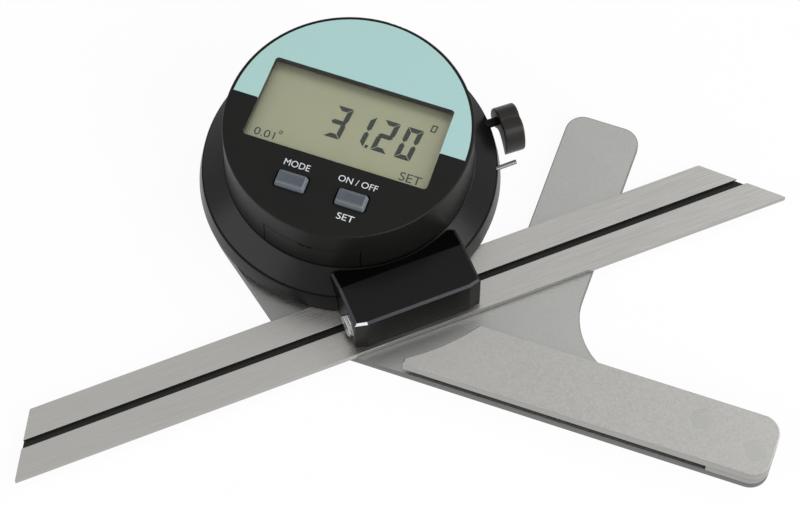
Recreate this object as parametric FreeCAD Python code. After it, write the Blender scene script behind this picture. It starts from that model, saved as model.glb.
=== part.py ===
import FreeCAD, Part
import math
import os

os.makedirs("parts", exist_ok=True)

# Angle finder: a flat stock with a fixed arm, a turning head under a fixed
# digital display, and a long straight blade that slides through the head's clamp.
# Millimetres and degrees. The origin is where the head's axis meets the underside
# of the base plate. X runs along the stock, Y along the fixed arm, Z is up.

# Allowances shared by all fits
overrun = 1.0            # how far every cutting tool runs past the metal
sliding_gap = 0.1        # between flat faces that pass each other
running_gap = 0.05       # radial clearance of every turning fit
parting_gap = 0.2        # between the turning head and the fixed display
pocket_gap = 0.15        # around pieces that are dropped into a pocket

# Display case: its foot sets the radius of the whole head
case_base_radius = 30.2
case_taper = 0.2
case_edge_round = 0.4
case_wall = 1.8
case_top_thick = 2.3
case_floor_thick = 2.0
floor_screw_count = 3
floor_screw_radius = 1.2
floor_screw_head_radius = 2.1
floor_screw_depth = 5.0
case_screw_angle = 55.0
case_screw_radius = 0.7
case_screw_gap = 0.6

# Turning head: a heavy ring with a conical top, running round the fixed hub
ring_blade_gap = 0.22
ring_wall_height = 4.89
ring_flare = 0.77
cone_step = 0.2
cone_run = 5.6
cone_height = 4.8
edge_groove = 0.3

# Fixed hub, its washer and its fasteners
hub_set_in = 8.2
hub_wall = 13.0
hub_floor = 3.0
hub_flange_width = 6.0
washer_thick = 0.32
hub_screw_count = 3
hub_screw_radius = 1.5
hub_screw_head_radius = 2.8
hub_screw_depth = 5.0

# Angle encoder discs
encoder_hub_gap = 0.8
encoder_width = 3.6
encoder_thick = 0.8
rotor_pocket_depth = 1.3

# Blade: lies at an angle to X, on the -Y side of the axis, both ends cut slanting
blade_angle = 41.58
blade_thick = 1.8
blade_width = 16.0
blade_hub_gap = 1.4
blade_tail = 102.0
blade_length = 198.0
tail_cut_angle = 60.0
tip_cut_angle = 45.0
groove_width = 1.8
groove_depth = 0.6
undercut_lip = 0.5
undercut_depth = 0.6

# Base plate: disc under the head, stock strip along X, fixed arm along Y
plate_thick = 2.35
plate_set_in = 0.8
stock_step = 9.03
stock_width = 15.7
stock_reach = 118.4
stock_corner = 4.5
toe_round = 0.8
flank_angle = 38.1
arm_gap = 9.23
arm_width = 18.5
arm_length = 36.0
arm_corner = 4.5
crotch_radius = 17.5
web_radius = 6.0

# Stock bar: a spacer and a lip over the strip, with a slot for the blade between
slot_clearance = 0.45
slot_foot_length = 14.3
lip_thick = 3.13
lip_head_gap = 8.1
lip_toe_length = 2.55
rivet_radius = 2.5
foot_rivet_setback = 4.4
foot_rivet_inset = 6.4
plug_setback = 18.3
plug_inset = 9.8

# Clamp housing: a block let into the head's rim, over the blade
housing_half_length = 16.0
housing_facet = 3.0
housing_facet_set = 0.7
housing_gap = 0.8
housing_nose = 4.7
housing_rise = 2.06
housing_corner_set = 3.2
housing_heel_run = 5.4
housing_heel_drop = 1.82
housing_edge = 0.7
housing_screw_radius = 1.0
housing_screw_head_radius = 1.8
housing_screw_head_length = 1.6
housing_screw_set_in = 5.0
housing_screw_height = 2.5
housing_screw_grip = 3.6
housing_screw_web = 3.5

# Clamp spindle and the hook that it draws up against the blade
spindle_set = 2.2
spindle_height = 4.73
spindle_head_radius = 3.0
spindle_proud = 1.0
spindle_head_length = 7.5
spindle_cam_radius = 1.9
spindle_cam_throw = 0.15
spindle_tail_radius = 1.6
spindle_end_wall = 7.0
spindle_slot_width = 0.9
spindle_slot_depth = 0.8
hook_half_length = 5.0
hook_wall = 1.2
hook_headroom = 0.8

# Lock screw, its lever and the brake shoe that it drives against the hub
lock_lead_angle = -3.0
lock_height = 4.75
lock_screw_radius = 1.1
lock_screw_engage = 3.6
lever_gap = 1.13
lever_width = 5.1
lever_reach = 9.0
lever_hub_shares = ((0.47, -0.24), (0.27, 0.24), (-0.02, 0.44), (-0.25, 0.375))
lever_wing_shares = ((-0.25, 0.375), (-0.50, 0.385), (-0.74, 0.03), (-0.78, -0.48))
lever_front_shares = ((-0.70, -0.71), (-0.34, -0.30), (-0.22, -0.25), (0.11, -0.53), (0.47, -0.41))
shoe_radius = 1.6
shoe_length = 6.1

# Index pin in the rim, parallel to the blade
pin_radius = 0.55
pin_offset = 14.1
pin_proud = 1.9
pin_length = 12.9

# Display window and label, set in from the case's wall
window_low_margin = 18.1
window_high_margin = 16.4
window_corner_margin = 2.81
window_flare = 0.5
window_corner = 0.9
window_sink = 0.1
window_flange = 1.3
window_flange_thick = 0.5
label_border = 0.85
label_thick = 0.12
label_step = 0.5

# Display panel, its connectors and the circuit board
panel_border = 1.2
panel_thick = 1.6
connector_height = 1.2
connector_width = 2.0
board_gap = 1.6
board_thick = 1.2
board_clearance = 2.18
chip_size = 7.0
chip_thick = 1.2
chip_reach = 12.0
post_radius = 2.0
post_set_in = 2.4
upper_post_gap = 8.4
lower_post_gap = 4.7
board_screw_radius = 0.9
board_screw_head_radius = 1.7
board_screw_head_height = 0.8
board_screw_depth = 3.0

# Push buttons and the switches under them
button_reach = 7.5
button_margin = 9.6
button_length = 7.4
button_width = 4.1
button_taper = 0.35
button_rise = 1.5
button_corner = 0.5
button_gap = 0.35
button_flange = 1.0
button_flange_thick = 0.8
button_stem_radius = 1.2
button_travel = 0.6
switch_radius = 2.4
switch_height = 0.7
switch_dome_radius = 1.4

# Battery, its tray and its contacts
cell_radius = 10.0
cell_thick = 3.2
cell_wall_gap = 1.8
tray_angle = -88.6
tray_half_angle = 23.6
tray_rise = 1.8
tray_seam = 0.15
tray_floor = 0.8
tray_lug_width = 14.0
contact_width = 4.0
contact_thick = 0.3
contact_overhang = 2.0
contact_turn = 40.0

# Heights stacked up from the underside of the plate
blade_bottom = plate_thick + sliding_gap
blade_top = blade_bottom + blade_thick
undercut_top = blade_top - groove_depth
undercut_floor = undercut_top - undercut_depth
strip_top = blade_top + slot_clearance
bar_top = strip_top + lip_thick
ring_bottom = blade_top + ring_blade_gap
flange_top = ring_bottom - sliding_gap - washer_thick
ring_edge = ring_bottom + ring_wall_height
ring_top = ring_edge + cone_height
housing_top = ring_top + housing_rise
housing_heel = housing_top - housing_heel_drop
spindle_z = ring_bottom + spindle_height
lock_z = ring_bottom + lock_height
case_bottom = ring_top + parting_gap
case_floor = case_bottom + case_floor_thick
cell_seat = case_floor + sliding_gap + tray_floor
cell_top = cell_seat + cell_thick
tray_top = cell_top + tray_rise
board_bottom = cell_top + board_clearance
board_top = board_bottom + board_thick
panel_bottom = board_top + connector_height
panel_top = panel_bottom + panel_thick
case_ceiling = panel_top + sliding_gap + window_flange_thick
case_top = case_ceiling + case_top_thick

# Radii outwards from the head's axis
case_bore = case_base_radius - case_wall
case_top_radius = case_base_radius - case_taper
label_radius = case_top_radius - label_border
board_radius = case_bore - board_gap
hub_radius = case_base_radius - hub_set_in
hub_bore_radius = hub_radius - hub_wall
hub_screw_circle = (hub_bore_radius + hub_radius) / 2
hub_flange_radius = hub_radius + hub_flange_width
encoder_inner_radius = hub_radius + encoder_hub_gap
encoder_outer_radius = encoder_inner_radius + encoder_width
cone_top_radius = case_base_radius + cone_step
ring_edge_radius = cone_top_radius + cone_run
ring_base_radius = ring_edge_radius + ring_flare
plate_radius = ring_base_radius - plate_set_in
lever_inner = ring_base_radius + lever_gap

# Distances to the side of the axis, for the blade and its clamp
blade_far = hub_flange_radius + blade_hub_gap
blade_offset = blade_far + blade_width
groove_line = blade_offset - blade_width / 2
spindle_offset = groove_line + spindle_set
housing_back = case_base_radius + housing_gap
housing_corner = housing_back - housing_corner_set
housing_ridge = housing_corner + housing_heel_run
housing_front = spindle_offset + housing_nose

# Places along the stock and the arm
stock_edge = plate_radius + stock_step
stock_far = stock_edge - stock_width
arm_left = plate_radius + arm_gap
arm_right = arm_left + arm_width
slot_end_radius = math.hypot(stock_reach - slot_foot_length, stock_edge)
lip_end_radius = housing_front + lip_head_gap
lip_toe = math.sqrt(lip_end_radius ** 2 - stock_edge ** 2) + lip_toe_length
lock_angle = blade_angle + lock_lead_angle

# The display's window, as wide as the case leaves room for
window_low = case_bore - window_low_margin
window_high = case_bore - window_high_margin
window_width = math.sqrt((case_bore - window_corner_margin) ** 2 - window_high ** 2) * 2


def point(x, y, z=0.0):
    """A point or direction."""
    return FreeCAD.Vector(x, y, z)


def polar(radius, angle, z=0.0):
    """A point at a radius and an angle from X about the head's axis."""
    turn = math.radians(angle)
    return point(radius * math.cos(turn), radius * math.sin(turn), z)


UP = point(0, 0, 1)
ORIGIN = point(0, 0, 0)


def box(x_span, y_span, z_span):
    """A block between two limits on each axis."""
    x_low, x_high = sorted(x_span)
    y_low, y_high = sorted(y_span)
    z_low, z_high = sorted(z_span)
    return Part.makeBox(x_high - x_low, y_high - y_low, z_high - z_low, point(x_low, y_low, z_low))


def about(middle, width):
    """The two limits of a width about its middle."""
    return middle - width / 2, middle + width / 2


def rod(radius, start, end):
    """A round bar between two points."""
    along = end - start
    return Part.makeCylinder(radius, along.Length, start, along)


def disc(radius, bottom, top, centre=ORIGIN):
    """An upright round disc."""
    return rod(radius, point(centre.x, centre.y, bottom), point(centre.x, centre.y, top))


def ring(outer, inner, bottom, top):
    """An upright round ring about the head's axis."""
    bore = disc(inner, bottom - overrun, top + overrun)
    return disc(outer, bottom, top).cut(bore)


def turned(profile):
    """A solid turned about the head's axis from (radius, height) points."""
    corners = [point(radius, 0, height) for radius, height in profile]
    face = Part.Face(Part.makePolygon(corners + corners[:1]))
    return face.revolve(ORIGIN, UP, 360)


def prism(edges, bottom, top):
    """A plate between two heights, with an outline of edges in the XY plane."""
    face = Part.Face(Part.Wire(edges))
    face.translate(point(0, 0, bottom))
    return face.extrude(point(0, 0, top - bottom))


def lines(points):
    """Straight edges from each point to the next."""
    return [Part.makeLine(start, end) for start, end in zip(points, points[1:])]


def arc(start, middle, end):
    """An arc through three points."""
    return Part.Arc(start, middle, end).toShape()


def round_corner(before, corner, after, radius):
    """The start, middle and end of an arc that rounds a corner."""
    back = (before - corner).normalize()
    ahead = (after - corner).normalize()
    half = math.acos(max(-1.0, min(1.0, back.dot(ahead)))) / 2
    run = radius / math.tan(half)
    centre = corner + (back + ahead).normalize() * (radius / math.sin(half))
    middle = centre + (corner - centre).normalize() * radius
    return corner + back * run, middle, corner + ahead * run


def rounded_outline(corners, radii):
    """Edges of a closed outline of straight sides with rounded corners."""
    count = len(corners)
    turns = []
    for index, (corner, radius) in enumerate(zip(corners, radii)):
        turns.append(round_corner(corners[index - 1], corner, corners[(index + 1) % count], radius))
    edges = []
    for index, (start, middle, end) in enumerate(turns):
        edges.append(arc(start, middle, end))
        edges.append(Part.makeLine(end, turns[(index + 1) % count][0]))
    return edges


def block_outline(x_span, y_span, radius):
    """Edges of a rectangle with rounded corners."""
    x_low, x_high = x_span
    y_low, y_high = y_span
    corners = [point(x_low, y_low), point(x_high, y_low), point(x_high, y_high), point(x_low, y_high)]
    return rounded_outline(corners, [radius] * len(corners))


def rounded_block(x_span, y_span, z_span, radius):
    """A block whose upright edges are rounded."""
    return prism(block_outline(x_span, y_span, radius), *z_span)


def join(shapes):
    """One solid from touching or overlapping shapes."""
    first, *others = shapes
    return first.fuse(others).removeSplitter() if others else first


def cut(shape, tools):
    """A shape with tools taken away."""
    return shape.cut(tools)


def group(shapes):
    """Separate solids kept in one node."""
    return Part.makeCompound(shapes)


def ring_of(count, radius, start_angle=0.0):
    """Points evenly spaced round the head's axis."""
    return [polar(radius, start_angle + 360.0 * index / count) for index in range(count)]


def along_blade(shape):
    """Turn a shape from the blade's own axes to its place on the tool."""
    return shape.rotated(ORIGIN, UP, blade_angle)


def countersunk(place, radius, head_radius, face, end):
    """A flat-headed screw from the height of its face to its end, up or down."""
    way = math.copysign(1, end - face)
    start = point(place.x, place.y, face)
    head = Part.makeCone(head_radius, radius, head_radius - radius, start, UP * way)
    return join([head, rod(radius, start, point(place.x, place.y, end))])


# Stock

def plate_outline():
    """Edges of the base plate: flank, stock strip, crotch, arm, web and disc."""
    flank = polar(plate_radius, 270.0 - flank_angle)
    slope = math.radians(flank_angle)
    fall = stock_edge + flank.y
    toe = point(flank.x + fall / math.tan(slope), -stock_edge)
    corners = [
        flank,
        toe,
        point(stock_reach, -stock_edge),
        point(stock_reach, -stock_far),
        point(arm_right, -stock_far),
        point(arm_right, arm_length),
        point(arm_left, arm_length),
    ]
    radii = [toe_round, stock_corner, stock_corner, crotch_radius, arm_corner, arm_corner]
    web_x = arm_left - web_radius
    web_y = -math.sqrt((plate_radius + web_radius) ** 2 - web_x ** 2)
    arm_root = point(arm_left, web_y)
    disc_root = point(web_x, web_y) * (plate_radius / (plate_radius + web_radius))
    corners.append(arm_root)
    edges = []
    here = flank
    for index, radius in enumerate(radii, start=1):
        start, middle, end = round_corner(corners[index - 1], corners[index], corners[index + 1], radius)
        edges.append(Part.makeLine(here, start))
        edges.append(arc(start, middle, end))
        here = end
    edges.append(Part.makeLine(here, arm_root))
    web_low = point(web_x, web_y - web_radius)
    edges.append(arc(arm_root, web_low, disc_root))
    edges.append(arc(disc_root, polar(plate_radius, 90.0), flank))
    return edges


def bar_layer(end_radius, bottom, top):
    """A layer of the stock bar, whose inner end is an arc about the head's axis."""
    outline = block_outline((0, stock_reach), (-stock_edge, -stock_far), stock_corner)
    return cut(prism(outline, bottom, top), [disc(end_radius, bottom - overrun, top + overrun)])


def foot_rivet_place():
    """Where the rivet goes through the bar's solid foot."""
    return point(stock_reach - foot_rivet_setback, foot_rivet_inset - stock_edge)


def plug_place():
    """Where the short plug is set in the lip."""
    return point(stock_reach - plug_setback, plug_inset - stock_edge)


def base_plate():
    """The ground plate that the whole tool lies on."""
    plate = prism(plate_outline(), 0, plate_thick)
    tools = [disc(rivet_radius, -overrun, plate_thick + overrun, foot_rivet_place())]
    for place in hub_screw_places():
        tools.append(countersunk(place, hub_screw_radius, hub_screw_head_radius, 0, plate_thick + overrun))
    return cut(plate, tools)


def stock_spacer():
    """The spacer that closes the slot's outer end."""
    spacer = bar_layer(slot_end_radius, plate_thick, strip_top)
    return cut(spacer, [disc(rivet_radius, plate_thick - overrun, strip_top + overrun, foot_rivet_place())])


def stock_lip():
    """The bar's top, which the blade passes under."""
    low = strip_top - overrun
    high = bar_top + overrun
    places = [foot_rivet_place(), plug_place()]
    tools = [disc(rivet_radius, low, high, place) for place in places]
    tools.append(box((-overrun, lip_toe), (-stock_edge - overrun, overrun - stock_far), (low, high)))
    return cut(bar_layer(lip_end_radius, strip_top, bar_top), tools)


def stock_rivets():
    """A rivet through the foot and a plug in the lip, both ground flush."""
    return group([
        disc(rivet_radius, 0, bar_top, foot_rivet_place()),
        disc(rivet_radius, strip_top, bar_top, plug_place()),
    ])


# Hub that the head turns on

def hub_screw_places():
    """Where the screws from below enter the hub."""
    return ring_of(hub_screw_count, hub_screw_circle)


def floor_screw_places():
    """Where the screws from above enter the hub, between the lower ones."""
    return ring_of(floor_screw_count, hub_screw_circle, 180.0 / floor_screw_count)


def pivot_hub():
    """The fixed hub: a flange on the plate and the bearing above it."""
    body = join([
        disc(hub_flange_radius, plate_thick, flange_top),
        disc(hub_radius, plate_thick, case_bottom),
    ])
    tools = [disc(hub_bore_radius, plate_thick + hub_floor, case_bottom + overrun)]
    for place in hub_screw_places():
        tools.append(disc(hub_screw_radius, plate_thick - overrun, plate_thick + hub_screw_depth, place))
    for place in floor_screw_places():
        tools.append(disc(floor_screw_radius, case_bottom - floor_screw_depth, case_bottom + overrun, place))
    return cut(body, tools)


def hub_screws():
    """Countersunk screws from under the plate into the hub."""
    top = plate_thick + hub_screw_depth
    return group([
        countersunk(place, hub_screw_radius, hub_screw_head_radius, 0, top)
        for place in hub_screw_places()
    ])


def thrust_washer():
    """The low-friction washer that the head rides on."""
    return ring(hub_flange_radius, hub_radius, flange_top, ring_bottom - sliding_gap)


# Turning head

def lock_point(radius):
    """A point on the lock screw's axis."""
    return polar(radius, lock_angle, lock_z)


def housing_outline():
    """Corners of the clamp housing seen from above, from its back left, in the blade's own axes."""
    half = housing_half_length
    inner = half - housing_facet
    corner_front = housing_facet_set - housing_front
    return [
        point(-half, -housing_corner),
        point(-half, corner_front),
        point(-inner, -housing_front),
        point(inner, -housing_front),
        point(half, corner_front),
        point(half, -housing_corner),
    ]


def heel_cut():
    """The wedge that slopes the block's top down to the display's foot."""
    length = housing_half_length + overrun
    slope = [
        point(-length, -housing_ridge, housing_top),
        point(-length, -housing_corner, housing_heel),
        point(-length, overrun - housing_corner, housing_heel),
        point(-length, overrun - housing_corner, housing_top + overrun),
        point(-length, -housing_ridge, housing_top + overrun),
    ]
    face = Part.Face(Part.makePolygon(slope + slope[:1]))
    return face.extrude(point(length * 2, 0, 0))


def edge_bevel(start, end):
    """A wedge that bevels the block's top edge between two corners."""
    along = (end - start).normalize()
    side = along.cross(UP) * housing_edge
    rise = UP * housing_edge
    foot = start - along * overrun
    face = Part.Face(Part.makePolygon([foot - side, foot - rise, foot + side + rise, foot - side]))
    return face.extrude(end - start + along * overrun * 2)


def housing_bevels():
    """Wedges for the block's top edges: down both slopes and round the front."""
    outline = housing_outline()
    rim = [point(place.x, place.y, housing_top) for place in outline]
    tools = [edge_bevel(start, end) for start, end in zip(rim, rim[1:])]
    for side in (-1, 1):
        corner = point(side * housing_half_length, -housing_corner, housing_heel)
        ridge = point(side * housing_half_length, -housing_ridge, housing_top)
        tools.append(edge_bevel(*((corner, ridge) if side < 0 else (ridge, corner))))
    return tools


def turret_ring():
    """The heavy ring that carries the blade's clamp round the hub."""
    inner = hub_radius + running_gap
    pocket_floor = ring_top - rotor_pocket_depth
    body = turned([
        (inner, ring_bottom),
        (ring_base_radius, ring_bottom),
        (ring_edge_radius, ring_edge - edge_groove),
        (ring_edge_radius - edge_groove, ring_edge),
        (ring_edge_radius - edge_groove, ring_edge + edge_groove),
        (cone_top_radius, ring_top),
        (encoder_outer_radius + pocket_gap, ring_top),
        (encoder_outer_radius + pocket_gap, pocket_floor),
        (inner, pocket_floor),
    ])
    span = (ring_bottom - overrun, ring_top + overrun)
    notch = box(
        (-housing_half_length, housing_half_length),
        (-housing_corner, -ring_base_radius - overrun),
        span,
    )
    tools = [cut(along_blade(notch), [disc(housing_back, *span)])]
    tools += [along_blade(tool) for tool in housing_screw_tools()]
    tools.append(rod(shoe_radius + running_gap, lock_point(hub_radius - overrun), lock_point(shoe_end())))
    tools.append(rod(lock_screw_radius + running_gap, lock_point(hub_radius), lock_point(lever_inner)))
    tools.append(along_blade(index_pin_rod()))
    return cut(body, tools)


def encoder_rotor():
    """The encoder's turning disc, in the ring's top."""
    bottom = ring_top - rotor_pocket_depth
    return ring(encoder_outer_radius, encoder_inner_radius, bottom, bottom + encoder_thick)


def index_pin_rod():
    """The pin's place in the blade's own axes."""
    end = ring_edge_radius + pin_proud
    return rod(pin_radius, point(end - pin_length, -pin_offset, lock_z), point(end, -pin_offset, lock_z))


def index_pin():
    """A steel pin that stands out of the ring's rim."""
    return along_blade(index_pin_rod())


def shoe_end():
    """Radius of the brake shoe's outer end."""
    return hub_radius + shoe_length


def brake_shoe():
    """The soft shoe that the lock screw presses on the hub."""
    plug = rod(shoe_radius, lock_point(hub_radius - shoe_radius), lock_point(shoe_end() - sliding_gap))
    return cut(plug, [disc(hub_radius + running_gap, ring_bottom, ring_top)])


# Clamp on the ring's rim

def housing_screw_places():
    """Both places along the blade of the housing's screws, with their height."""
    reach = housing_half_length - housing_screw_set_in
    height = ring_bottom + housing_screw_height
    return [(-reach, height), (reach, height)]


def housing_seam(reach):
    """Distance of the block's curved back from the axis, at a place along the blade."""
    return math.sqrt(housing_back ** 2 - reach ** 2)


def housing_screw_tools():
    """Stepped holes through the ring, from its bore outwards."""
    tools = []
    for reach, height in housing_screw_places():
        head_start = point(reach, 0, height)
        seat = point(reach, housing_screw_web - housing_seam(reach), height)
        end = point(reach, -housing_back - overrun, height)
        tools.append(rod(housing_screw_head_radius + pocket_gap, head_start, seat))
        tools.append(rod(housing_screw_radius, seat, end))
    return tools


def clamp_screws():
    """Cap screws that hold the clamp housing to the ring."""
    screws = []
    for reach, height in housing_screw_places():
        seat = point(reach, housing_screw_web - housing_seam(reach), height)
        face = seat + point(0, housing_screw_head_length, 0)
        end = point(reach, -housing_seam(reach) - housing_screw_grip, height)
        head = rod(housing_screw_head_radius, face, seat)
        shank = rod(housing_screw_radius, seat, end)
        screws.append(along_blade(join([head, shank])))
    return group(screws)


def spindle_point(reach, lift=0.0):
    """A point on the spindle's axis, or lifted off it, in the blade's own axes."""
    return point(reach, -spindle_offset, spindle_z + lift)


def spindle_shoulder():
    """Where the spindle's thick head ends, along the blade."""
    return spindle_head_length - housing_half_length - spindle_proud


def spindle_bores():
    """Stepped bore for the spindle in the housing."""
    left = spindle_point(-housing_half_length - overrun)
    shoulder = spindle_point(spindle_shoulder())
    end = spindle_point(housing_half_length - spindle_end_wall + sliding_gap)
    return [
        rod(spindle_head_radius + running_gap, left, shoulder),
        rod(spindle_tail_radius + running_gap, shoulder, end),
    ]


def hook_half_width():
    """Half the width of the hook's plate, round its eye."""
    return hook_eye_radius() + hook_wall


def hook_eye_radius():
    """Radius of the hook's eye, clear of the cam all the way round."""
    return spindle_cam_radius + spindle_cam_throw + pocket_gap


def hook_top():
    """Height of the hook's top."""
    return spindle_z + hook_eye_radius() + hook_wall


def clamp_housing():
    """The black block that holds the blade's clamp."""
    outline = housing_outline()
    block = cut(prism(lines(outline + outline[:1]), ring_bottom, housing_top), [heel_cut()])
    block = cut(block, housing_bevels())
    drum = disc(housing_back, ring_bottom - overrun, housing_top + overrun)
    cavity = box(
        about(0, (hook_half_length + pocket_gap) * 2),
        about(-spindle_offset, (hook_half_width() + pocket_gap) * 2),
        (ring_bottom - overrun, hook_top() + hook_headroom),
    )
    tools = spindle_bores() + [cavity, drum]
    for reach, height in housing_screw_places():
        start = point(reach, -housing_corner, height)
        end = point(reach, -housing_seam(reach) - housing_screw_grip, height)
        tools.append(rod(housing_screw_radius, start, end))
    return along_blade(cut(block, tools))


def clamp_hook():
    """The hook: an eye on the spindle's cam and a foot in the blade's groove."""
    bottom = blade_top + sliding_gap
    span = (-hook_half_length, hook_half_length)
    plate = box(span, about(-spindle_offset, hook_half_width() * 2), (bottom, hook_top()))
    foot_top = undercut_top - sliding_gap
    foot_bottom = undercut_floor + sliding_gap
    neck_width = groove_width - pocket_gap * 2
    neck = box(span, about(-groove_line, neck_width), (foot_bottom, bottom))
    foot = box(span, about(-groove_line, neck_width + undercut_lip * 2), (foot_bottom, foot_top))
    eye_start = point(-hook_half_length - overrun, -spindle_offset, spindle_z)
    eye_end = point(hook_half_length + overrun, -spindle_offset, spindle_z)
    return along_blade(cut(join([plate, neck, foot]), [rod(hook_eye_radius(), eye_start, eye_end)]))


def clamp_spindle():
    """The steel spindle: slotted hexagon end, cam in the hook's eye, tail journal."""
    face = -housing_half_length - spindle_proud
    centre = spindle_point(face)
    corners = [centre + point(0, spot.x, spot.y) for spot in ring_of(6, spindle_head_radius)]
    hexagon = Part.Face(Part.makePolygon(corners + corners[:1]))
    head_end = spindle_point(spindle_shoulder() - sliding_gap)
    reach = hook_half_length + pocket_gap
    cam_ends = [spindle_point(side * reach, spindle_cam_throw) for side in (-1, 1)]
    body = join([
        hexagon.extrude(point(spindle_proud, 0, 0)),
        rod(spindle_head_radius, spindle_point(-housing_half_length), head_end),
        rod(spindle_tail_radius, head_end, spindle_point(housing_half_length - spindle_end_wall)),
        rod(spindle_cam_radius, *cam_ends),
    ])
    slot = box(
        (face - overrun, face + spindle_slot_depth),
        about(-spindle_offset, (spindle_head_radius + overrun) * 2),
        about(spindle_z, spindle_slot_width),
    )
    return along_blade(cut(body, [slot]))


# Blade

def blade():
    """The straight blade, with slanting ends and an undercut groove along its middle."""
    tip = blade_length - blade_tail
    tail_slant = blade_width / math.tan(math.radians(tail_cut_angle))
    tip_slant = blade_width / math.tan(math.radians(tip_cut_angle))
    outline = [
        point(-blade_tail, -blade_offset),
        point(tip, -blade_offset),
        point(tip - tip_slant, -blade_far),
        point(-blade_tail + tail_slant, -blade_far),
    ]
    body = prism(lines(outline + outline[:1]), blade_bottom, blade_top)
    span = (-blade_tail - overrun, tip + overrun)
    groove = box(span, about(-groove_line, groove_width), (undercut_floor, blade_top + overrun))
    undercut_span = about(-groove_line, groove_width + undercut_lip * 2)
    undercut = box(span, undercut_span, (undercut_floor, undercut_top))
    return along_blade(cut(body, [groove, undercut]))


# Lock lever

def lever_curve(shares):
    """A smooth edge through some places of the lever's end view."""
    curve = Part.BSplineCurve()
    curve.interpolate([point(across, up) * lever_reach for across, up in shares])
    return curve.toShape()


def lever_outline():
    """Edges of the lever's end view: round hub, drooping wing, blunt tip, hollow underside."""
    curves = [lever_curve(shares) for shares in (lever_hub_shares, lever_wing_shares, lever_front_shares)]
    hub, wing, front = curves
    tip = Part.makeLine(wing.lastVertex().Point, front.firstVertex().Point)
    return [hub, wing, tip, front, Part.makeLine(front.lastVertex().Point, hub.firstVertex().Point)]


def lock_lever():
    """The thumb lever on the lock screw's outer end."""
    blank = prism(lever_outline(), 0, lever_width)
    bore = disc(lock_screw_radius, -overrun, lock_screw_engage)
    lever = cut(blank, [bore])
    upright = FreeCAD.Rotation(point(0, 1, 0), point(0, 0, 1), point(1, 0, 0), "ZXY")
    lever.Placement = FreeCAD.Placement(ORIGIN, upright)
    lever.rotate(ORIGIN, UP, lock_angle)
    lever.translate(lock_point(lever_inner))
    return lever


def lock_screw():
    """The screw between the lever and the brake shoe."""
    return rod(lock_screw_radius, lock_point(shoe_end()), lock_point(lever_inner + lock_screw_engage))


# Display case

def case_cone():
    """The case's slightly tapered outer form."""
    return Part.makeCone(case_base_radius, case_top_radius, case_top - case_bottom, point(0, 0, case_bottom))


def case_body():
    """The closed outer form of the case, with a softened top edge."""
    body = case_cone()
    top_edge = [edge for edge in body.Edges if edge.BoundBox.ZMin > case_ceiling]
    return body.makeFillet(case_edge_round, top_edge[:1])


def tray_sector(inner, outer, bottom, top, gap=0.0):
    """A curved block of the case wall, centred on the battery's direction."""
    half = tray_half_angle - math.degrees(gap / case_base_radius)
    far = outer * 2
    low = polar(far, tray_angle - half)
    high = polar(far, tray_angle + half)
    wedge = prism(lines([ORIGIN, low, high, ORIGIN]), bottom, top)
    return wedge.common(ring(outer, inner, bottom - overrun, top + overrun))


def post_places():
    """Where the case's posts hold the board."""
    places = []
    for row in (window_high + upper_post_gap, -window_low - lower_post_gap):
        across = math.sqrt((board_radius - post_set_in) ** 2 - row ** 2)
        places += [point(-across, row), point(across, row)]
    return places


def button_places():
    """Where the two push buttons stand."""
    row = button_margin - case_bore
    return [point(-button_reach, row), point(button_reach, row)]


def window_block(bottom, top, gap=0.0):
    """The window's rounded block, wider at its foot, grown or shrunk by a gap."""
    upper = window_width / 2 + gap
    lower = upper + window_flare
    corners = [
        point(-lower, -window_low - gap),
        point(lower, -window_low - gap),
        point(upper, window_high + gap),
        point(-upper, window_high + gap),
    ]
    return prism(rounded_outline(corners, [window_corner + gap] * len(corners)), bottom, top)


def label_outline():
    """The half disc over the display, in the XY plane, with its step at the window."""
    half = window_width / 2
    step = half + label_step
    corners = [
        point(-label_radius, 0),
        point(-step, 0),
        point(-half, -label_step),
        point(half, -label_step),
        point(step, 0),
        point(label_radius, 0),
    ]
    return lines(corners) + [arc(corners[-1], point(0, label_radius), corners[0])]


def case_screw_lines():
    """Outer and inner end of each set screw at the back of the case."""
    height = case_bottom + case_floor_thick / 2
    inner = encoder_outer_radius + case_screw_gap
    angles = [90.0 - case_screw_angle, 90.0 + case_screw_angle]
    return [(polar(case_base_radius, angle, height), polar(inner, angle, height)) for angle in angles]


def front_case():
    """The display's shell: wall, face, posts, window and button openings."""
    hollow = disc(case_bore, case_bottom - overrun, case_ceiling)
    shell = cut(case_body(), [hollow])
    shell = join([shell] + [disc(post_radius, board_top, case_ceiling, place) for place in post_places()])
    tools = [window_block(case_ceiling - overrun, case_top + overrun, 0)]
    tools.append(prism(label_outline(), case_top - label_thick, case_top + overrun))
    for place in button_places():
        tools.append(button_hole(place))
    for place in post_places():
        tools.append(disc(board_screw_radius, board_top - overrun, board_top + board_screw_depth, place))
    hatch = tray_sector(case_bore - overrun, case_base_radius + overrun, case_bottom - overrun, tray_top)
    tools.append(hatch)
    for outer, inner in case_screw_lines():
        tools.append(rod(case_screw_radius, outer + (outer - inner).normalize() * overrun, inner))
    return cut(shell, tools)


def button_hole(place):
    """The rounded opening for one button."""
    hole = rounded_block(
        about(0, button_length + button_gap * 2),
        about(0, button_width + button_gap * 2),
        (case_ceiling - overrun, case_top + overrun),
        button_corner + button_gap,
    )
    hole.translate(place)
    return hole


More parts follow.
